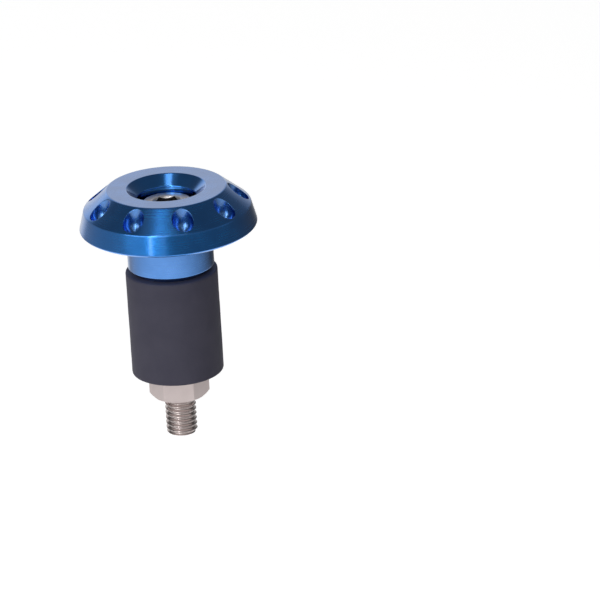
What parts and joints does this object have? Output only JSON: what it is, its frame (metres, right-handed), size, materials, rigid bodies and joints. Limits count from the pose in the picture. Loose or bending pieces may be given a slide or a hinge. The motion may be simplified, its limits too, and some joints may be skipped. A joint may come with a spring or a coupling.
{
  "type": "bar end weight",
  "caption": "Handlebar end weight: an anodised mushroom cap scooped round its cone, with a rubber sleeve squeezed by a socket screw and nut so that it grips inside the bar.",
  "frame": {"origin": "on the plug's axis at the shoulder plane, where the cap's underside meets the end of the bar", "axes": "+Z along the plug's axis out of the bar, cap up; -Y is the side that the picture shows; +X to its right"},
  "size_m": [0.0337, 0.0336, 0.0497],
  "materials": {
    "anodised_cap": "blue anodised, fine turned rings, satin",
    "sleeve_rubber": "matt black",
    "screw_steel": "bright stainless",
    "nut_steel": "satin stainless"
  },
  "bodies": {
    "root": {"cap": "anodised_cap", "rubber_sleeve": "sleeve_rubber", "socket_screw": "screw_steel", "nut": "nut_steel"}
  },
  "joints": []
}
